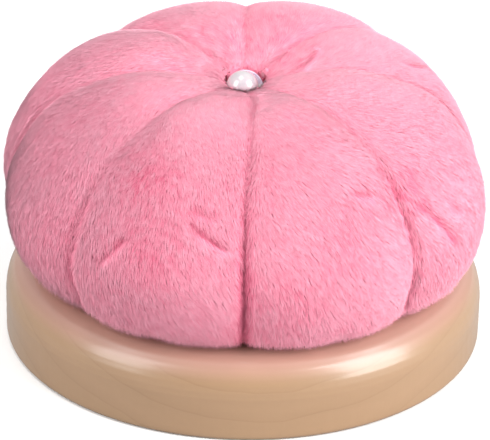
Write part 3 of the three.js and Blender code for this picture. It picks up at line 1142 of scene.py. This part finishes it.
def base_outline():
    """(radius, height) points from the underside's middle over the shoulder and into the recess."""
    foot = (BASE_RADIUS - BASE_FOOT_ROUNDING, BASE_FOOT_ROUNDING)
    shoulder = (BASE_RADIUS - BASE_SHOULDER_WIDTH, BASE_SIDE_HEIGHT)
    bulge = (BASE_SHOULDER_WIDTH, BASE_HEIGHT - BASE_SIDE_HEIGHT)
    edge = (RECESS_RADIUS + RECESS_EDGE, BASE_HEIGHT - RECESS_EDGE)
    underside = [(r, 0.0) for r in np.linspace(BASE_AXIS_HOLE, foot[0], 12)[:-1]]
    side = [(BASE_RADIUS, z) for z in np.linspace(BASE_FOOT_ROUNDING, BASE_SIDE_HEIGHT, 9)[1:-1]]
    recess = [(r, BASE_HEIGHT - RECESS_DEPTH) for r in np.linspace(RECESS_RADIUS, BASE_AXIS_HOLE, 10)]
    return [
        *underside,
        *arc(foot, (BASE_FOOT_ROUNDING, BASE_FOOT_ROUNDING), -90, 0, 6),
        *side,
        *arc(shoulder, bulge, 0, 90, 32, BASE_SHOULDER_FULLNESS),
        *arc(edge, (RECESS_EDGE, RECESS_EDGE), 90, 180, 4),
        *recess,
    ]


def wooden_base():
    """The turned base, with faint rings left by the tool."""
    points = turned(base_outline(), BASE_SEGMENTS)
    angle = np.arctan2(points[..., 1], points[..., 0])
    height = points[..., 2]
    radius = np.hypot(points[..., 0], points[..., 1])
    up_side = np.sin(height * TOOL_RIPPLES[0] + 0.3 * np.sin(angle))
    tool = TOOL_MARK * up_side + TOOL_MARK * np.sin(radius * TOOL_RIPPLES[1])
    outside = ramp(height, 0.5, 2.0) * ramp(radius, RECESS_RADIUS + 1, RECESS_RADIUS + 2)
    scale = 1 - (TOOL_MARK + tool) * outside / np.maximum(radius, 1)
    points[..., :2] *= scale[..., None]
    material = new_material("wood_varnished", varnished_wood)
    turned_piece("wood_base", "turned_base", points, material)


def along_drilling(points):
    """Turns points about the pearl's centre so that +Z points away from its drilling."""
    way = Vector((0, 0, 1)).rotation_difference(Vector(-unit(PEARL_DRILLING))).to_matrix()
    return points @ np.array(way).T + PEARL_CENTRE


def pearl_bead():
    """A half-drilled pearl, faintly out of round as nacre is."""
    edge = math.degrees(math.acos(PEARL_HOLE_RADIUS / PEARL_RADIUS))
    outline = [
        (0.01, PEARL_HOLE_END),
        (PEARL_HOLE_RADIUS - PEARL_HOLE_CORNER, PEARL_HOLE_END),
        (PEARL_HOLE_RADIUS, PEARL_HOLE_END - PEARL_HOLE_CORNER),
        *arc((0, 0), (PEARL_RADIUS, PEARL_RADIUS), -edge, 89.8, 60),
    ]
    points = turned(outline, PEARL_SEGMENTS)
    swell = 1 + PEARL_SWELL * lumps(points, *PEARL_LUMPS)
    points = along_drilling(points * swell[..., None])
    turned_piece("pearl_bead", "pearl", points, new_material("nacre", nacre))


def cup_sequin():
    """A cup sequin whose rim rises round the pearl in small flutes."""
    flat = -(PEARL_RADIUS + SEQUIN_GAP)
    rim = SEQUIN_RADIUS - SEQUIN_FLAT_RADIUS
    upper = [(SEQUIN_HOLE_RADIUS, flat), (SEQUIN_FLAT_RADIUS, flat)]
    for share in np.linspace(0, 1, 11)[1:]:
        upper.append((SEQUIN_FLAT_RADIUS + rim * share, flat + SEQUIN_CUP * share**SEQUIN_CURVE))
    lower = [(r, z - SEQUIN_THICKNESS) for r, z in upper]
    points = turned(lower + upper[::-1], SEQUIN_FLUTES * 12)
    angle = np.arctan2(points[..., 1], points[..., 0])
    radius = np.hypot(points[..., 0], points[..., 1])
    rising = ramp(radius, SEQUIN_FLAT_RADIUS, SEQUIN_RADIUS)
    points[..., 2] += SEQUIN_FLUTE_DEPTH * np.cos(SEQUIN_FLUTES * angle) * rising
    material = new_material("sequin_film", iridescent_film)
    turned_piece("cup_sequin", "sequin", along_drilling(points), material)


# -------- stage

# Distances here are in metres.
CAMERA_DISTANCE = 0.6
CAMERA_ELEVATION = 28.63
CAMERA_AIM = Vector((0.0001, 0.0, 0.0217))
CAMERA_ROLL = 0.021
CAMERA_LENS = 229.9
LIGHT_AIM = Vector((0, 0, 0.03))
# Name, place, width and height, and power in watts.
SOFTBOXES = [
    ("key_right", (0.69, -0.34, 0.40), (0.5, 0.75), 11.6),
    ("fill_left", (-0.61, -0.37, 0.44), (0.4, 0.65), 4.3),
    ("top", (-0.12, -0.04, 0.84), (0.28, 0.24), 2.1),
]
WORLD_STRENGTH = 0.57
FLOOR_REACH = 2.0


def look_from(place, aim, roll=0.0):
    """The matrix of a camera or light that looks from a place at an aim."""
    look = (aim - place).to_track_quat("-Z", "Y").to_matrix()
    return Matrix.Translation(place) @ (look @ Matrix.Rotation(roll, 3, "Z")).to_4x4()


def camera():
    """The camera, in front of the object and above it."""
    elevation = math.radians(CAMERA_ELEVATION)
    place = Vector((0, -CAMERA_DISTANCE * math.cos(elevation), CAMERA_DISTANCE * math.sin(elevation)))
    data = bpy.data.cameras.new("camera")
    data.lens = CAMERA_LENS
    data.sensor_width = 36
    data.clip_start = 0.01
    made = new_object("camera", data)
    made.matrix_world = look_from(place, CAMERA_AIM, CAMERA_ROLL)
    bpy.context.scene.camera = made


def softbox(name, place, size, power):
    """A rectangular light that faces the object."""
    data = bpy.data.lights.new(name, "AREA")
    data.shape = "RECTANGLE"
    data.size, data.size_y = size
    data.energy = power
    new_object(name, data).matrix_world = look_from(Vector(place), LIGHT_AIM)


def studio():
    """Soft boxes, an even white surround and a floor."""
    for name, place, size, power in SOFTBOXES:
        softbox(name, place, size, power)
    world = bpy.data.worlds.new("studio_white")
    world.use_nodes = True
    background = world.node_tree.nodes["Background"]
    background.inputs["Color"].default_value = (1, 1, 1, 1)
    background.inputs["Strength"].default_value = WORLD_STRENGTH
    bpy.context.scene.world = world
    reach = FLOOR_REACH / MM
    points = [(-reach, -reach, 0), (reach, -reach, 0), (reach, reach, 0), (-reach, reach, 0)]
    floor = new_piece("floor", points, [(0, 1, 2, 3)], [new_material("floor_white", pale_floor)])
    bpy.context.scene.view_settings.view_transform = "Standard"


# -------- build

camera()
studio()
surface = build_surface()
skin = sunk(surface, THREAD_BED)
plush_cover(skin)
plush_pile(surface, sunk(surface, 0.0))
rib_threads(skin)
gathering_thread()
underside_knot()
centre_thread()
fibre_fill(skin)
glue_bed()
wooden_base()
pearl_bead()
cup_sequin()
